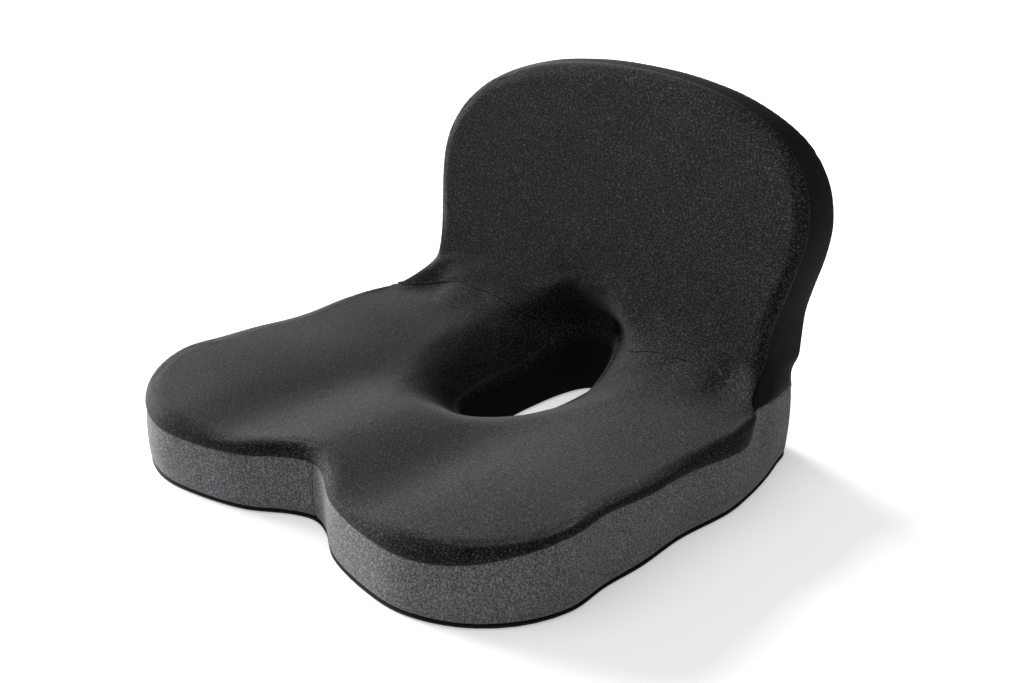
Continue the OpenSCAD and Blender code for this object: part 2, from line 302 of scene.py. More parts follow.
def mesh_piece(name, verts, faces, material):
    data = bpy.data.meshes.new(name)
    data.from_pydata([tuple(v) for v in np.asarray(verts) * MM], [], faces)
    data.update()
    data.shade_smooth()
    piece = bpy.data.objects.new(name, data)
    bpy.context.scene.collection.objects.link(piece)
    data.materials.append(material)
    return piece


def grid_faces(nu, nv, wrap_u=False, wrap_v=False, flip=False):
    faces = []
    for i in range(nu if wrap_u else nu - 1):
        for j in range(nv if wrap_v else nv - 1):
            a, b = i * nv + j, i * nv + (j + 1) % nv
            c, d = ((i + 1) % nu) * nv + (j + 1) % nv, ((i + 1) % nu) * nv + j
            faces.append((a, b, c, d) if flip else (a, d, c, b))
    return faces


def grid_piece(name, points, material, wrap_u=False, wrap_v=False, flip=False):
    nu, nv = points.shape[:2]
    return mesh_piece(name, points.reshape(-1, 3), grid_faces(nu, nv, wrap_u, wrap_v, flip), material)


def modifier(piece, kind, **values):
    m = piece.modifiers.new(kind.lower(), kind)
    for key, value in values.items():
        setattr(m, key, value)
    return m


def apply_modifiers(piece):
    deps = bpy.context.evaluated_depsgraph_get()
    data = bpy.data.meshes.new_from_object(piece.evaluated_get(deps))
    piece.modifiers.clear()
    piece.data = data
    data.shade_smooth()
    return piece


def get_points(piece):
    co = np.empty(len(piece.data.vertices) * 3, np.float32)
    piece.data.vertices.foreach_get("co", co)
    return co.reshape(-1, 3).astype(float) / MM


def set_points(piece, points):
    piece.data.vertices.foreach_set("co", (np.asarray(points) * MM).astype(np.float32).ravel())
    piece.data.update()


def normals(piece):
    n = np.empty(len(piece.data.vertices) * 3, np.float32)
    piece.data.vertices.foreach_get("normal", n)
    return n.reshape(-1, 3).astype(float)


SWELL_CAP, SWELL_FRAMES = 1.6, 20


def swell(piece, pressure=2.5):
    """Stretches the sewn panel over its foam: a short cloth simulation, held at the panel's edges."""
    edge = bmesh.new()
    edge.from_mesh(piece.data)
    sewn = [v.index for v in edge.verts if v.is_boundary]
    edge.free()
    rest = get_points(piece)
    group = piece.vertex_groups.new(name="sewn")
    group.add(sewn, 1.0, "REPLACE")
    cloth = piece.modifiers.new("cloth", "CLOTH")
    s = cloth.settings
    s.vertex_group_mass = "sewn"
    s.quality = 4
    s.mass = 0.3
    s.tension_stiffness, s.compression_stiffness, s.bending_stiffness = 20, 20, 2
    s.use_pressure = True
    s.uniform_pressure_force = pressure
    s.effector_weights.gravity = 0
    cloth.collision_settings.use_collision = False
    scene = bpy.context.scene
    for step in range(1, SWELL_FRAMES + 1):
        scene.frame_set(step)
    deps = bpy.context.evaluated_depsgraph_get()
    moved = piece.evaluated_get(deps).to_mesh()
    co = np.empty(len(moved.vertices) * 3, np.float32)
    moved.vertices.foreach_get("co", co)
    shift = co.reshape(-1, 3).astype(float) / MM - rest
    piece.evaluated_get(deps).to_mesh_clear()
    piece.modifiers.clear()
    piece.vertex_groups.clear()
    scene.frame_set(1)
    size = np.linalg.norm(shift, axis=1)
    shift *= (SWELL_CAP * np.tanh(size / SWELL_CAP) / np.maximum(size, 1e-6))[:, None]
    set_points(piece, rest + shift)


def seam_tree(lines):
    points = np.vstack(lines)
    tree = KDTree(len(points))
    for i, p in enumerate(points):
        tree.insert(p, i)
    tree.balance()
    return tree, length_along(points)


def pucker(piece, tree, run, depth=0.11, reach=7.0, pitch=7.5):
    """Small gathers that run out from the seams, and a faint unevenness of the cloth."""
    p, n = get_points(piece), normals(piece)
    lift = np.zeros(len(p))
    for i, q in enumerate(p):
        _, k, d = tree.find(q)
        slow = noise.noise(Vector(q * 0.02))
        lift[i] = 0.35 * slow * min(1, d / 8)
        if d < 4 * reach:
            gather = math.sin(2 * math.pi * run[k] / pitch + 4 * noise.noise(Vector(q * 0.03)))
            gather *= 0.55 + 0.9 * noise.noise(Vector(q * 0.012 + np.array([9.0, 4.0, 2.0])))
            lift[i] += depth * gather * math.exp(-((d - 2.5) / reach) ** 2) * min(1, d / 2)
    set_points(piece, p + n * lift[:, None])


def backed(piece, depth=1.4):
    """Gives a cloth panel its thickness, inwards, so that it is a closed solid."""
    modifier(piece, "SOLIDIFY", thickness=depth * MM, offset=-1)
    return apply_modifiers(piece)


# ---------------------------------------------------------------- materials


class Shader:
    """A short way to wire a node material."""

    def __init__(self, name, colour, roughness, **sockets):
        self.material = bpy.data.materials.new(name)
        self.material.use_nodes = True
        self.tree = self.material.node_tree
        self.shader = self.tree.nodes["Principled BSDF"]
        self.shader.inputs["Base Color"].default_value = (*colour, 1)
        self.shader.inputs["Roughness"].default_value = roughness
        for key, value in sockets.items():
            self.shader.inputs[key.replace("_", " ")].default_value = value
        self.coord = self.tree.nodes.new("ShaderNodeTexCoord")

    def node(self, kind, **values):
        n = self.tree.nodes.new("ShaderNode" + kind)
        for key, value in values.items():
            setattr(n, key, value)
        return n

    def link(self, a, b):
        self.tree.links.new(a, b)

    def put(self, socket, value):
        if hasattr(value, "is_output"):
            self.link(value, socket)
        else:
            socket.default_value = (*value, 1) if hasattr(value, "__len__") and len(value) == 3 else value

    def place(self, scale=(1, 1, 1), turn=(0, 0, 0)):
        m = self.node("Mapping")
        m.inputs["Scale"].default_value = scale
        m.inputs["Rotation"].default_value = turn
        self.link(self.coord.outputs["Object"], m.inputs["Vector"])
        return m.outputs[0]

    def noise(self, size_mm, detail=2.0, rough=0.5, scale=(1, 1, 1)):
        n = self.node("TexNoise")
        n.inputs["Scale"].default_value = 1 / (size_mm * MM)
        n.inputs["Detail"].default_value = detail
        n.inputs["Roughness"].default_value = rough
        self.link(self.place(scale), n.inputs["Vector"])
        return n.outputs["Fac"]

    def wave(self, size_mm, axis, distort=0.6):
        w = self.node("TexWave", bands_direction=axis)
        w.inputs["Scale"].default_value = 1 / (size_mm * MM) * 0.314
        w.inputs["Distortion"].default_value = distort
        w.inputs["Detail Scale"].default_value = 2.0
        self.link(self.place(), w.inputs["Vector"])
        return w.outputs["Fac"]

    def ramp(self, fac, stops):
        r = self.node("ValToRGB")
        e = r.color_ramp.elements
        while len(e) < len(stops):
            e.new(0.5)
        for spot, (pos, level) in zip(e, stops):
            spot.position = pos
            spot.color = (*level, 1) if hasattr(level, "__len__") else (level, level, level, 1)
        self.link(fac, r.inputs["Fac"])
        return r.outputs["Color"]

    def mix(self, kind, fac, a, b):
        m = self.node("Mix", data_type="RGBA", blend_type=kind)
        for socket, value in ((m.inputs[0], fac), (m.inputs[6], a), (m.inputs[7], b)):
            self.put(socket, value)
        return m.outputs[2]

    def bump(self, height, depth_mm, strength=1.0, under=None):
        b = self.node("Bump")
        b.inputs["Strength"].default_value = strength
        b.inputs["Distance"].default_value = depth_mm * MM
        self.link(height, b.inputs["Height"])
        if under is not None:
            self.link(under, b.inputs["Normal"])
        return b.outputs["Normal"]

    def colour(self, socket):
        self.link(socket, self.shader.inputs["Base Color"])

    def rough(self, socket):
        self.link(socket, self.shader.inputs["Roughness"])

    def normal(self, socket):
        self.link(socket, self.shader.inputs["Normal"])


def grey(level):
    return (level, level, level * 1.04)


def velour():
    s = Shader("velour_knit", grey(0.020), 0.9, Sheen_Weight=0.025, Sheen_Roughness=0.5,
               Specular_IOR_Level=0.1)
    grain = s.noise(1.3, 2, 0.65)
    tufts = s.noise(3.2, 3, 0.6)
    cloudy = s.noise(55, 2)
    shade = s.ramp(grain, [(0.40, grey(0.001)), (0.53, grey(0.006)), (0.64, grey(0.036))])
    shade = s.mix("MULTIPLY", 1.0, shade, s.ramp(tufts, [(0.3, 0.85), (0.7, 1.15)]))
    shade = s.mix("MULTIPLY", 1.0, shade, s.ramp(cloudy, [(0.3, 0.9), (0.7, 1.1)]))
    s.colour(shade)
    s.rough(s.ramp(tufts, [(0.3, 0.82), (0.7, 0.96)]))
    s.normal(s.bump(grain, 0.4, 0.75, s.bump(tufts, 0.35, 0.5)))
    return s.material


def heather():
    s = Shader("heather_cloth", grey(0.14), 0.9, Sheen_Weight=0.04, Sheen_Roughness=0.5,
               Specular_IOR_Level=0.15)
    fibre = s.noise(1.3, 2, 0.7)
    slub = s.noise(2.0, 2, 0.6, (1, 1, 0.35))
    patch = s.noise(35, 2)
    shade = s.ramp(fibre, [(0.36, grey(0.030)), (0.5, grey(0.070)), (0.65, grey(0.17))])
    shade = s.mix("MULTIPLY", 1.0, shade, s.ramp(slub, [(0.3, 0.84), (0.7, 1.14)]))
    shade = s.mix("MULTIPLY", 1.0, shade, s.ramp(patch, [(0.3, 0.94), (0.7, 1.05)]))
    s.colour(shade)
    s.normal(s.bump(fibre, 0.25, 0.6, s.bump(slub, 0.22, 0.5)))
    return s.material


def smooth_knit(name, level, rib=None):
    s = Shader(name, grey(level), 0.8, Sheen_Weight=0.01, Sheen_Roughness=0.4, Specular_IOR_Level=0.08)
    grain = s.noise(1.0, 2, 0.6)
    s.colour(s.ramp(grain, [(0.3, grey(level * 0.6)), (0.7, grey(level * 1.5))]))
    under = s.bump(grain, 0.15, 0.6)
    s.normal(s.bump(s.wave(rib, "X", 0.2), 0.25, 0.7, under) if rib else under)
    return s.material


def foam_cells():
    s = Shader("moulded_foam", (0.80, 0.74, 0.58), 0.9, Specular_IOR_Level=0.2)
    cells = s.noise(1.6, 3, 0.6)
    s.colour(s.ramp(cells, [(0.3, (0.70, 0.63, 0.47)), (0.7, (0.86, 0.80, 0.65))]))
    s.normal(s.bump(cells, 0.3, 0.5))
    return s.material


def silicone():
    s = Shader("silicone", grey(0.012), 0.42, Specular_IOR_Level=0.45)
    smear = s.noise(6, 3, 0.6)
    s.rough(s.ramp(smear, [(0.3, 0.34), (0.7, 0.55)]))
    s.normal(s.bump(smear, 0.05, 0.4))
    return s.material


def zip_cloth():
    s = Shader("zip_tape_cloth", grey(0.014), 0.85, Sheen_Weight=0.1, Specular_IOR_Level=0.3)
    rib = s.wave(1.1, "Z", 0.0)
    twill = s.wave(0.9, "DIAGONAL", 0.0)
    s.colour(s.mix("MULTIPLY", 1.0, s.ramp(rib, [(0.0, grey(0.009)), (1.0, grey(0.020))]),
                   s.ramp(twill, [(0.0, 0.75), (1.0, 1.1)])))
    s.normal(s.bump(rib, 0.2, 0.8, s.bump(twill, 0.12, 0.6)))
    return s.material


def nylon():
    s = Shader("nylon_coil", grey(0.018), 0.35, Specular_IOR_Level=0.5)
    s.rough(s.ramp(s.noise(2, 2), [(0.3, 0.28), (0.7, 0.45)]))
    return s.material


def gunmetal():
    s = Shader("gunmetal", grey(0.16), 0.34, Metallic=1.0)
    wear = s.noise(1.8, 3, 0.7)
    fine = s.noise(0.3, 2, 0.6, (0.15, 1, 1))
    s.colour(s.ramp(wear, [(0.35, grey(0.11)), (0.62, grey(0.19)), (0.8, grey(0.34))]))
    s.rough(s.ramp(fine, [(0.3, 0.26), (0.7, 0.44)]))
    s.normal(s.bump(fine, 0.02, 0.5))
    return s.material


def satin():
    s = Shader("satin_ribbon", (0.78, 0.78, 0.76), 0.45, Sheen_Weight=0.2, Specular_IOR_Level=0.4)
    warp = s.wave(0.35, "Z", 0.0)
    s.colour(s.ramp(warp, [(0.0, (0.70, 0.70, 0.68)), (1.0, (0.83, 0.83, 0.81))]))
    s.normal(s.bump(warp, 0.06, 0.7))
    return s.material


KNIT, HEATHER = velour(), heather()
BOXING = smooth_knit("boxing_knit", 0.007)
LINING = smooth_knit("lining_knit", 0.004)
BASE_CLOTH = smooth_knit("base_cloth", 0.010, 1.6)
FOAM, SILICONE, TAPE, COIL, METAL, SATIN = (
    foam_cells(), silicone(), zip_cloth(), nylon(), gunmetal(), satin())

# ---------------------------------------------------------------- cover panels

RIM_ROWS, OPEN_ROWS, ROLL_ROWS = 6, 46, 11
ROLL_R, VALLEY_ROLL_R, LIP = 13, 2.5, 7.0


def seat_edge():
    """For each ray out of the slot: its two ends, and whether it ends at the foot of the back rest."""
    rim = slot_at(RIM_A, RIM_B, RIM_Y, TOP)
    near, far = np.zeros(COUNT), np.ones(COUNT)
    for _ in range(26):
        u = (near + far) / 2
        p = rim + (TOP - rim) * u[:, None]
        behind = p[:, 1] > valley_y(p[:, 0])
        far, near = np.where(behind, u, far), np.where(behind, near, u)
    end = rim + (TOP - rim) * far[:, None]
    at_valley = far < 0.9999
    return rim, end, at_valley


def seat_top():
    """Rows of points from inside the slot's rim, over the seat, down to its sewn edge."""
    rim, end, at_valley = seat_edge()
    ray = end - rim
    length = np.linalg.norm(ray, axis=1)
    ray /= length[:, None]
    facing = np.clip((ray * NORMAL).sum(1), 0.35, 1)
    open_edge = np.where(at_valley, 0, smooth(FOOT_Y, 45, end[:, 1]) * 0.9 + 0.1)
    roll = VALLEY_ROLL_R + (ROLL_R - VALLEY_ROLL_R) * open_edge
    reach = np.minimum(roll / facing, 0.45 * length)
    rows = []
    stops = LIP + (length - reach - LIP)[None, :] * edge_spacing(OPEN_ROWS, 0.35)[:, None]

    def surf(d):
        return settle(np.concatenate([rim + ray * d[:, None], 45 + 0 * d[:, None]], 1), 2)

    lip_top = surf(np.full(COUNT, LIP))
    low = rim_z(rim[:, 1]) - 3
    for k in range(RIM_ROWS):
        phi = math.pi / 2 * k / RIM_ROWS
        d = LIP * (1 - math.cos(phi))
        z = low + (lip_top[:, 2] - low) * math.sin(phi)
        rows.append(np.concatenate([rim + ray * d, z[:, None]], 1))
    for d in stops:
        rows.append(surf(d))
    edge = surf(length)
    final = np.where(at_valley, edge[:, 2] - 1.2, seam_z(end[:, 0], end[:, 1]))
    for k in range(1, ROLL_ROWS + 1):
        phi = math.pi / 2 * k / ROLL_ROWS
        d = length - reach * (1 - math.sin(phi))
        base = surf(d)
        base[:, 2] -= (edge[:, 2] - final) * (1 - math.cos(phi))
        rows.append(base)
    last = rows[-1].copy()
    tuck = np.where(at_valley, 0.0, CREASE)
    last[:, :2] -= NORMAL * tuck[:, None]
    last[:, 2] -= np.where(at_valley, 1.0, CREASE)
    rows.append(last)
    return np.array(rows), last


def side_band_rows(ids, top_z, low_z, bulge, rows=26):
    """A strip of the band round the outline, creased at its upper edge and rounded at its lower one."""
    out = []
    base, n = PLAN[ids], NORMAL[ids]
    draw = pinch(base[:, 1]) * smooth(150, 190, np.abs(base[:, 0]))
    for t in edge_spacing(rows, 0.7):
        z = top_z + (low_z - top_z) * t
        off = bulge * np.sin(np.pi * np.clip(t, 0, 1)) ** 0.8
        off = off - draw * smooth(12, 58, z)
        under = np.clip((low_z + 5 - z) / 5, 0, 1)
        off = off - 2.6 * (1 - np.sqrt(np.clip(1 - under**2, 0, 1)))
        tucked = np.clip(1 - (top_z - z) / 2.2, 0, 1)
        off = off - CREASE * tucked**2
        out.append(np.concatenate([base + n * off[:, None], z[:, None]], 1))
    return np.array(out)


SEAT_TOP, SEAT_SEAM = seat_top()
seat = grid_piece("seat_top", np.transpose(SEAT_TOP, (1, 0, 2)), KNIT, wrap_u=True)


def coons(bottom, top, left, right):
    """A grid of points inside four edge curves. bottom and top run one way, left and right the other."""
    s, t = length_along(top), length_along(left)
    s = (s / s[-1])[:, None, None]
    t = (t / t[-1])[None, :, None]
    return ((1 - t) * bottom[:, None] + t * top[:, None] + (1 - s) * left[None] + s * right[None]
            - (1 - s) * (1 - t) * bottom[0] - (1 - s) * t * top[0]
            - s * (1 - t) * bottom[-1] - s * t * top[-1])


def at_share(curve, shares):
    run = length_along(curve)
    return np.stack([np.interp(shares * run[-1], run, curve[:, k]) for k in range(curve.shape[1])], 1)


ACROSS, UP = edge_spacing(132, 0.85), edge_spacing(92, 0.85)
FRONT_ROLL, REAR_ROLL = 11, 12      # width of the rolled edge of the back rest's two faces


def panel_grid(edge, bottom):
    """Fills a back rest outline, given from one foot over the top to the other, above a lower edge."""
    right, top, left = edge[:SHOULDER + 1], edge[SHOULDER:-SHOULDER][::-1], edge[:-SHOULDER - 2:-1]
    return coons(at_share(bottom, ACROSS), at_share(top, ACROSS), at_share(left, UP), at_share(right, UP))


def edge_distance(xz, edge):
    """Distance in the back rest's plane from each point to its outline."""
    flat = xz.reshape(-1, 2)
    a, ab = edge[:-1], np.diff(edge, axis=0)
    best = np.full(len(flat), 1e9)
    for p, d in zip(a, ab):
        t = np.clip(((flat - p) @ d) / (d @ d), 0, 1)
        best = np.minimum(best, np.linalg.norm(flat - p - t[:, None] * d, axis=1))
    return best.reshape(xz.shape[:2])


def back_front():
    """The front of the back rest, from the seam at its foot up to its rolled edge."""
    x = np.linspace(-FOOT_X, FOOT_X, 300)
    xz = panel_grid(BACK_EDGE, np.stack([x, valley_z(x)], 1))
    p = np.stack([xz[..., 0], valley_y(xz[..., 0]), xz[..., 1]], 2)
    rise = np.clip((p[..., 2] - valley_z(p[..., 0])) / 30, 0, 1)
    p[..., 1] = p[..., 1] + (front_face_y(p[..., 0], p[..., 2]) - p[..., 1]) * rise
    p = settle(p, 1, 24)
    u = np.clip(1 - edge_distance(xz, BACK_EDGE) / FRONT_ROLL, 0, 1)
    p[..., 1] += EDGE_R * (1 - foot(p[..., 0], p[..., 2])) * (1 - np.sqrt(1 - u * u))
    return p


back = grid_piece("back_front", back_front(), KNIT, flip=True)


# ---------------------------------------------------------------- boxing, rear and bands


def boxing_strip(rows=26):
    """The black strip round the back rest, between its front seam and its rear seam."""
    x, z = BACK_EDGE[:, 0], BACK_EDGE[:, 1]
    front = np.stack([x, front_seam_y(x, z), z], 1)
    rear = np.stack([flared(x, z), rear_y(flared(x, z), z), z], 1)
    d = np.gradient(BACK_EDGE, axis=0)
    d /= np.linalg.norm(d, axis=1)[:, None]
    out = np.stack([d[:, 1], 0 * x, -d[:, 0]], 1)
    side = PLAN[(PLAN[:, 0] > 150) & (PLAN[:, 1] > 60)]
    side = side[np.argsort(side[:, 1])]
    strip = []
    low = smooth(88, FOOT_Z + 1, z)
    for t in edge_spacing(rows, 0.6):
        p = front + (rear - front) * t
        tucked = np.clip(1 - min(t, 1 - t) * 38 / 2.2, 0, 1)
        swell_out = 2.2 * math.sin(math.pi * t) ** 0.8 - CREASE * tucked**2
        p = p + out * swell_out
        wide = np.interp(p[:, 1], side[:, 1], side[:, 0] - pinch(side[:, 1])) - CREASE * 0.6
        near = low * float(smooth(0, 0.3, t))
        p[:, 0] += (np.sign(p[:, 0]) * wide - p[:, 0]) * near
        p[:, 2] += (seam_z(wide, p[:, 1]) - FOOT_Z - CREASE) * low
        strip.append(p)
    return np.array(strip)


STRIP = boxing_strip()
boxing = grid_piece("back_boxing", np.transpose(STRIP, (1, 0, 2)), BOXING, flip=True)


def back_rear():
    """The rear of the back rest, slightly crowned, down to the grey band."""
    edge3 = STRIP[-1]
    edge = np.stack([edge3[:, 0], edge3[:, 2]], 1)
    bottom = np.stack([np.linspace(edge[-1, 0], edge[0, 0], 300), np.full(300, REAR_BAND_Z - CREASE)], 1)
    xz = panel_grid(edge, bottom)
    p = np.stack([xz[..., 0], rear_y(xz[..., 0], xz[..., 1]), xz[..., 1]], 2)
    u = np.clip(1 - edge_distance(xz, np.vstack([edge, bottom])) / REAR_ROLL, 0, 1)
    p[..., 1] += 4.0 * np.sqrt(1 - u * u) * (1 - 0.6 * smooth(100, 68, p[..., 2]))
    return p


rear = grid_piece("back_rear", back_rear(), BOXING)

REAR_CORNER = 153.7     # where the side bands end and the two rear bands begin
at_rear = PLAN[:, 1] > REAR_Y - 8
right_ids = [i for i, x in enumerate(PLAN[:, 0]) if x >= -0.01 and not (at_rear[i] and x < REAR_CORNER)]
left_ids = [i for i, x in enumerate(PLAN[:, 0]) if x <= 0.01 and not (at_rear[i] and x > -REAR_CORNER)]
left_ids = [i for i in left_ids if i != 0] + [0]
rear_ids = [i for i, x in enumerate(PLAN[:, 0]) if at_rear[i] and abs(x) < REAR_CORNER + 5]


def band(name, ids, top_z, low_z, bulge=1.8):
    points = side_band_rows(ids, top_z, low_z, bulge)
    for end in (0, -1):
        points[:, end, :2] -= NORMAL[ids[end]] * CREASE
    return grid_piece(name, np.transpose(points, (1, 0, 2)), HEATHER, flip=True)


def level(ids, z):
    return np.full(len(ids), float(z))


LOW_Z = 3.4
bands = [band("band_right", right_ids, seam_z(*PLAN[right_ids].T), level(right_ids, LOW_Z)),
         band("band_left", left_ids, seam_z(*PLAN[left_ids].T), level(left_ids, LOW_Z)),
         band("band_rear_upper", rear_ids, seam_z(*PLAN[rear_ids].T), level(rear_ids, tape_hi[2] + 9), 0.4),
         band("band_rear_lower", rear_ids, level(rear_ids, tape_lo[2]), level(rear_ids, LOW_Z), 0.8)]


def slot_wall(rows=20):
    """The wall of the slot, from under the seat's rim down to the base."""
    rim, floor = slot_at(RIM_A, RIM_B, RIM_Y, TOP), slot_at(FLOOR_A, FLOOR_B, FLOOR_Y, TOP)
    high = rim_z(rim[:, 1]) - 3
    out = []
    for t in edge_spacing(rows, 0.4):
        xy = rim + (floor - rim) * t ** 0.85
        out.append(np.concatenate([xy, (high + (FLOOR_Z - high) * t)[:, None]], 1))
    return np.array(out)


lining = grid_piece("slot_wall", np.transpose(slot_wall(), (1, 0, 2)), LINING, wrap_u=True, flip=True)

# ---------------------------------------------------------------- finishing the cover

valley = np.linspace(-FOOT_X, FOOT_X, 200)
SEAMS = [SEAT_SEAM, STRIP[0], STRIP[-1], np.stack([valley, valley_y(valley), valley_z(valley)], 1)]
foot_of_rear = TOP[TOP[:, 1] > 170]
SEAMS.append(np.concatenate([foot_of_rear, np.full((len(foot_of_rear), 1), float(REAR_BAND_Z))], 1))
for ids in (right_ids[:1], right_ids[-1:], left_ids[:1]):
    p = PLAN[ids[0]]
    SEAMS.append(np.stack([np.full(20, p[0]), np.full(20, p[1]), np.linspace(LOW_Z, SEAM_Z, 20)], 1))
SEAM_TREE, SEAM_RUN = seam_tree(SEAMS)

pairs = [(seat, "seat_top_panel", "knit"), (back, "back_front_panel", "knit"),
         (boxing, "back_side_band", "boxing"),
         (rear, "back_rear_panel", "boxing"), (lining, "slot_lining", "boxing"),
         (bands[0], "side_band_right", "heather"), (bands[1], "side_band_left", "heather"),
         (bands[2], "rear_band_upper", "heather"), (bands[3], "rear_band_lower", "heather")]
for piece in (seat, back, rear):
    swell(piece)
for piece, node, slot in pairs:
    modifier(piece, "SUBSURF", levels=1, render_levels=1, boundary_smooth="PRESERVE_CORNERS")
    apply_modifiers(piece)
    pucker(piece, SEAM_TREE, SEAM_RUN)
    backed(piece)
    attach(piece, "cushion")
    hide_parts(node)

# ---------------------------------------------------------------- foam, base and grips


def foam_block():
    """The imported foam, remeshed, smoothed and drawn in behind the visible cover."""
    gap = 3.5
    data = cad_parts["foam_core"].data.copy()
    piece = bpy.data.objects.new("foam", data)
    bpy.context.scene.collection.objects.link(piece)
    modifier(piece, "REMESH", mode="VOXEL", voxel_size=4 * MM)
    modifier(piece, "SMOOTH", iterations=5, factor=0.5)
    apply_modifiers(piece)
    p = get_points(piece)
    for _ in range(6):
        f = air(*p.T)
        slope = np.stack([(air(*(p + step).T) - f) / STEP for step in np.eye(3) * STEP], 1)
        slope /= np.maximum(np.linalg.norm(slope, axis=1), 0.3)[:, None]
        p -= slope * np.clip(f + gap, 0, 6)[:, None]
    behind = (p[:, 1] > 150) & (np.abs(p[:, 0]) < 170) & (np.abs(p[:, 2] - SLIT) < 24)
    p[behind, 1] = np.minimum(p[behind, 1], REAR_Y - 6.5)
    p[:, 2] = np.maximum(p[:, 2], foam_lo[2] + 0.2)
    side = np.clip(np.abs(p[:, 0]) - 190, 0, 8) * bell(p[:, 1] - 107, 30) * smooth(20, 50, p[:, 2])
    p[:, 0] -= np.sign(p[:, 0]) * side * 0.4
    set_points(piece, p)
    piece.data.materials.clear()
    piece.data.materials.append(FOAM)
    return piece


foam = foam_block()
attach(foam, "cushion")
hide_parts("foam_core")


def tube(name, path, radius, material, sides=10, closed=False, squash=(1, 1)):
    """A round bead along a path, with a radius for each point or one for all."""
    p = np.asarray(path, float)
    d = (np.roll(p, -1, 0) - np.roll(p, 1, 0)) if closed else np.gradient(p, axis=0)
    d /= np.linalg.norm(d, axis=1)[:, None]
    up = np.tile([0.0, 0.0, 1.0], (len(p), 1))
    side = np.cross(d, up)
    side /= np.maximum(np.linalg.norm(side, axis=1), 1e-6)[:, None]
    up = np.cross(side, d)
    r = np.broadcast_to(np.asarray(radius, float), len(p))[:, None]
    rings = []
    for a in np.arange(sides) / sides * 2 * math.pi:
        rings.append(p + side * r * math.cos(a) * squash[0] + up * r * math.sin(a) * squash[1])
    points = np.transpose(np.array(rings), (1, 0, 2))
    piece = grid_piece(name, points, material, wrap_u=closed, wrap_v=True)
    if not closed:
        shell = bmesh.new()
        shell.from_mesh(piece.data)
        bmesh.ops.holes_fill(shell, edges=[e for e in shell.edges if e.is_boundary])
        bmesh.ops.recalc_face_normals(shell, faces=shell.faces)
        shell.to_mesh(piece.data)
        shell.free()
        piece.data.shade_smooth()
    return piece


BINDING_R = 1.3
binding_path = np.concatenate([PLAN - NORMAL * 1.6, np.full((COUNT, 1), bind_lo[2] + BINDING_R)], 1)
binding = tube("binding", binding_path, BINDING_R, BASE_CLOTH, 12, True, (1.3, 1.0))
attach(binding, "cushion")
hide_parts("base_binding")


DOT_PITCH, DOT_ROW = 56, 56 * 0.866


def dot_centres():
    """The middle of each grip dot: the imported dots' points, each moved to the nearest place of their grid."""
    co = np.array([v.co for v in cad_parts["grip_dots"].data.vertices]) / MM
    spots = set()
    for x, y in co[:, :2]:
        row = round(y / DOT_ROW)
        shift = 0 if row % 2 == 0 else 0.5
        spots.add((row, round(x / DOT_PITCH - shift) + shift))
    return sorted((k * DOT_PITCH, row * DOT_PITCH * 0.866) for row, k in spots)


def grips():
    """Low silicone domes with a flat foot."""
    r, h = 6.0, dots_hi[2]
    profile = [(0, 0), (r - 0.5, 0), (r - 0.15, 0.12), (r, 0.32), (r - 0.1, 0.55), (r - 0.5, h), (0, h)]
    sides = 36
    verts, faces = [], []
    for cx, cy in dot_centres():
        start = len(verts)
        verts.append((cx, cy, 0))
        for pr, pz in profile[1:-1]:
            for k in range(sides):
                a = 2 * math.pi * k / sides
                verts.append((cx + pr * math.cos(a), cy + pr * math.sin(a), pz))
        verts.append((cx, cy, h))
        last = len(verts) - 1
        n = len(profile) - 2
        for k in range(sides):
            q = (k + 1) % sides
            faces.append((start, start + 1 + q, start + 1 + k))
            for i in range(n - 1):
                a = start + 1 + i * sides
                faces.append((a + k, a + q, a + sides + q, a + sides + k))
            a = start + 1 + (n - 1) * sides
            faces.append((last, a + k, a + q))
    return mesh_piece("grips", verts, faces, SILICONE)


dots = grips()
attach(dots, "cushion")
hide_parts("grip_dots")

# ---------------------------------------------------------------- zip and label

COIL_PITCH = 1.6
TAPE_W, TAPE_END = 11, 9    # width of each tape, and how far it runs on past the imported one


def coil(name, side):
    """One row of the zip: a nylon wire wound in flat loops, each with a head at the slit."""
    turns = int((coil_hi[0] - coil_lo[0] - 2) / COIL_PITCH)
    per = 14
    t = np.arange(turns * per + 1) / per
    a = 2 * math.pi * t
    width, deep = (coil_hi[2] - coil_lo[2]) / 2 - 0.3, (coil_hi[1] - coil_lo[1]) / 2 - 0.32
    mid_z = SLIT + side * (width + 0.42)
    x = coil_lo[0] + 1 + COIL_PITCH * (t + 0.10 * np.sin(2 * a)) + (0 if side > 0 else COIL_PITCH / 2)
    mid_y = (coil_lo[1] + coil_hi[1]) / 2
    path = np.stack([x, mid_y + deep * np.sin(a), mid_z + side * width * np.cos(a)], 1)
    return tube(name, path, 0.30 + 0.05 * bell(np.cos(a) + 1, 0.4), COIL, 8)


for name, side, node in (("coil_upper", 1, "zip_coil_upper"), ("coil_lower", -1, "zip_coil_lower")):
    row = coil(name, side)
    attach(row, "cushion")
    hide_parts(node)


def tape(name, side):
    """Woven tape with a raised line and a sewn row, tucked behind the bands at its outer edge and ends."""
    z0, z1 = (SLIT + 0.15, SLIT + TAPE_W) if side > 0 else (SLIT - TAPE_W, SLIT - 0.15)
    zs = np.linspace(z0, z1, 30)
    xs = np.linspace(tape_lo[0] - TAPE_END, tape_hi[0] + TAPE_END, 240)
    x, z = np.meshgrid(xs, zs, indexing="ij")
    off = np.abs(z - SLIT)
    y = tape_hi[1] - 0.05 + 0.10 * bell(off - 3.6, 0.5) + 0.05 * np.sin(x * 0.9) * bell(off - 6, 1.5)
    tucked = np.maximum(smooth(tape_hi[0] - 1, tape_hi[0] + 3, np.abs(x)), smooth(7.2, 9, off))
    y = y - 2.2 * tucked
    piece = grid_piece(name, np.stack([x, y, z], 2), TAPE, flip=True)
    return backed(piece, 0.6)


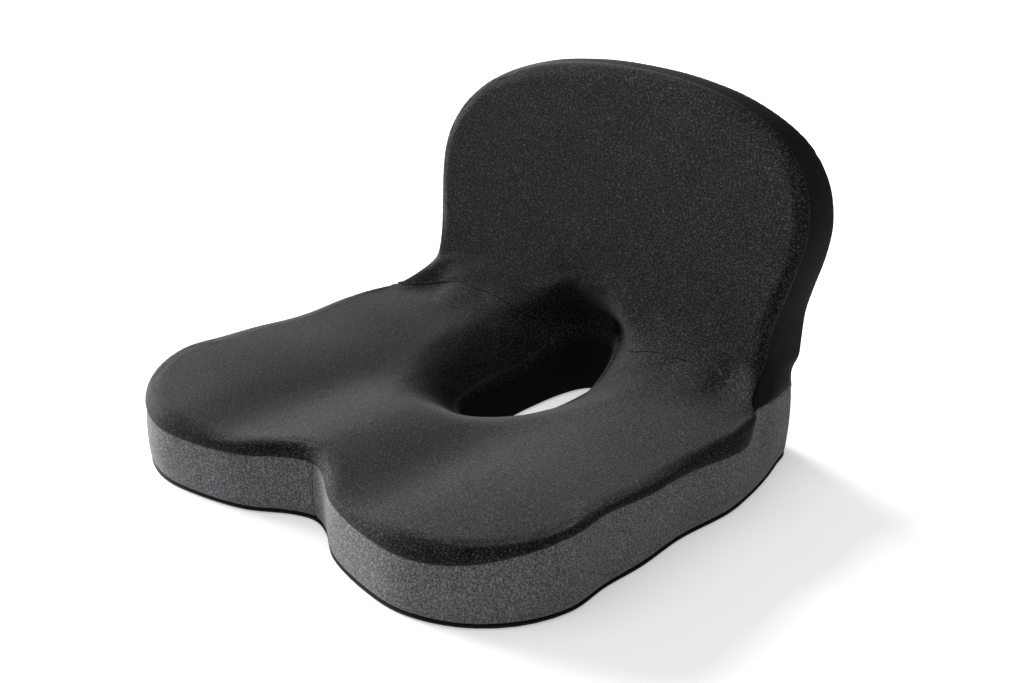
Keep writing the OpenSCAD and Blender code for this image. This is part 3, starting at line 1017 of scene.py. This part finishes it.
for name, side, node in (("tape_upper", 1, "zip_tape_upper"), ("tape_lower", -1, "zip_tape_lower")):
    strip = tape(name, side)
    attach(strip, "cushion")
    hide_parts(node)


def label():
    """A blank folded ribbon, sewn in at its top and curling out a little at its foot."""
    w, high = label_hi[0] - label_lo[0], label_hi[2] - label_lo[2]
    s, t = np.meshgrid(np.linspace(0, 1, 24), np.linspace(0, 1, 40), indexing="ij")
    x = label_lo[0] + w * s + 0.5 * np.sin(3 * t + 1)
    y = label_lo[1] + 0.2 + 2.6 * smooth(0, 0.22, t) + 1.2 * t**2.2 + 0.8 * (s - 0.5) ** 2 * t
    z = label_hi[2] - high * t - 0.4 * np.sin(math.pi * s) * t
    return backed(grid_piece("label", np.stack([x, y, z], 2), SATIN), 0.35)


tag = label()
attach(tag, "cushion")
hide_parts("care_label")

CARRIED = {"zip_stop_left": METAL, "zip_stop_right": METAL, "zip_slider": METAL, "zip_pull": METAL,
           "base_panel": BASE_CLOTH}
for name, material in CARRIED.items():
    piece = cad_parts[name]
    piece.data.materials.clear()
    piece.data.materials.append(material)
    modifier(piece, "BEVEL", width=0.18 * MM, segments=3, limit_method="ANGLE")

# ---------------------------------------------------------------- stage, light and camera

AZIMUTH, ELEVATION, DISTANCE, ROLL = 42.4, 22.7, 1134.5, 0.95
TARGET = np.array([43.2, -5.5, 111.8])
LENS, SENSOR = 49.6, 36.0
FLOOR_HALF = 9000.0


def camera():
    data = bpy.data.cameras.new("camera")
    data.lens, data.sensor_width = LENS, SENSOR
    data.clip_end = 100
    cam = bpy.data.objects.new("camera", data)
    bpy.context.scene.collection.objects.link(cam)
    a, e = math.radians(AZIMUTH), math.radians(ELEVATION)
    back = Vector((math.sin(a) * math.cos(e), -math.cos(a) * math.cos(e), math.sin(e)))
    right = Vector((math.cos(a), math.sin(a), 0))
    up = back.cross(right)
    r = math.radians(ROLL)
    right, up = right * math.cos(r) + up * math.sin(r), up * math.cos(r) - right * math.sin(r)
    cam.matrix_world = Matrix.Translation((Vector(TARGET) + back * DISTANCE) * MM) @ Matrix(
        (right, up, back)).transposed().to_4x4()
    bpy.context.scene.camera = cam


def soft_sun(name, direction, strength, angle):
    data = bpy.data.lights.new(name, "SUN")
    data.energy, data.angle = strength, math.radians(angle)
    lamp = bpy.data.objects.new(name, data)
    bpy.context.scene.collection.objects.link(lamp)
    lamp.rotation_mode = "QUATERNION"
    lamp.rotation_quaternion = Vector(direction).to_track_quat("Z", "Y")


def studio():
    """A pale floor, a backdrop that is white to the camera but dimmer as a light, and two soft suns."""
    s = Shader("pale_floor", grey(0.80), 0.95, Specular_IOR_Level=0.0)
    s.shader.inputs["Emission Color"].default_value = (1, 1, 1, 1)
    s.shader.inputs["Emission Strength"].default_value = 0.40
    corners = np.array([[-1, -1, 0], [1, -1, 0], [1, 1, 0], [-1, 1, 0]]) * FLOOR_HALF
    floor = mesh_piece("floor", corners, [(0, 1, 2, 3)], s.material)
    world = bpy.data.worlds.new("studio")
    bpy.context.scene.world = world
    world.use_nodes = True
    tree = world.node_tree
    seen = tree.nodes.new("ShaderNodeLightPath")
    level = tree.nodes.new("ShaderNodeMapRange")
    level.inputs["To Min"].default_value, level.inputs["To Max"].default_value = 0.30, 1.0
    tree.links.new(seen.outputs["Is Camera Ray"], level.inputs["Value"])
    tree.links.new(level.outputs[0], tree.nodes["Background"].inputs["Strength"])
    tree.nodes["Background"].inputs["Color"].default_value = (1, 1, 1, 1)
    soft_sun("key", (-1.0, 0.0, 0.15), 19.0, 50)
    soft_sun("top", (-0.2, -0.5, 1.0), 0.9, 60)
    bpy.context.scene.view_settings.view_transform = "Standard"


camera()
studio()
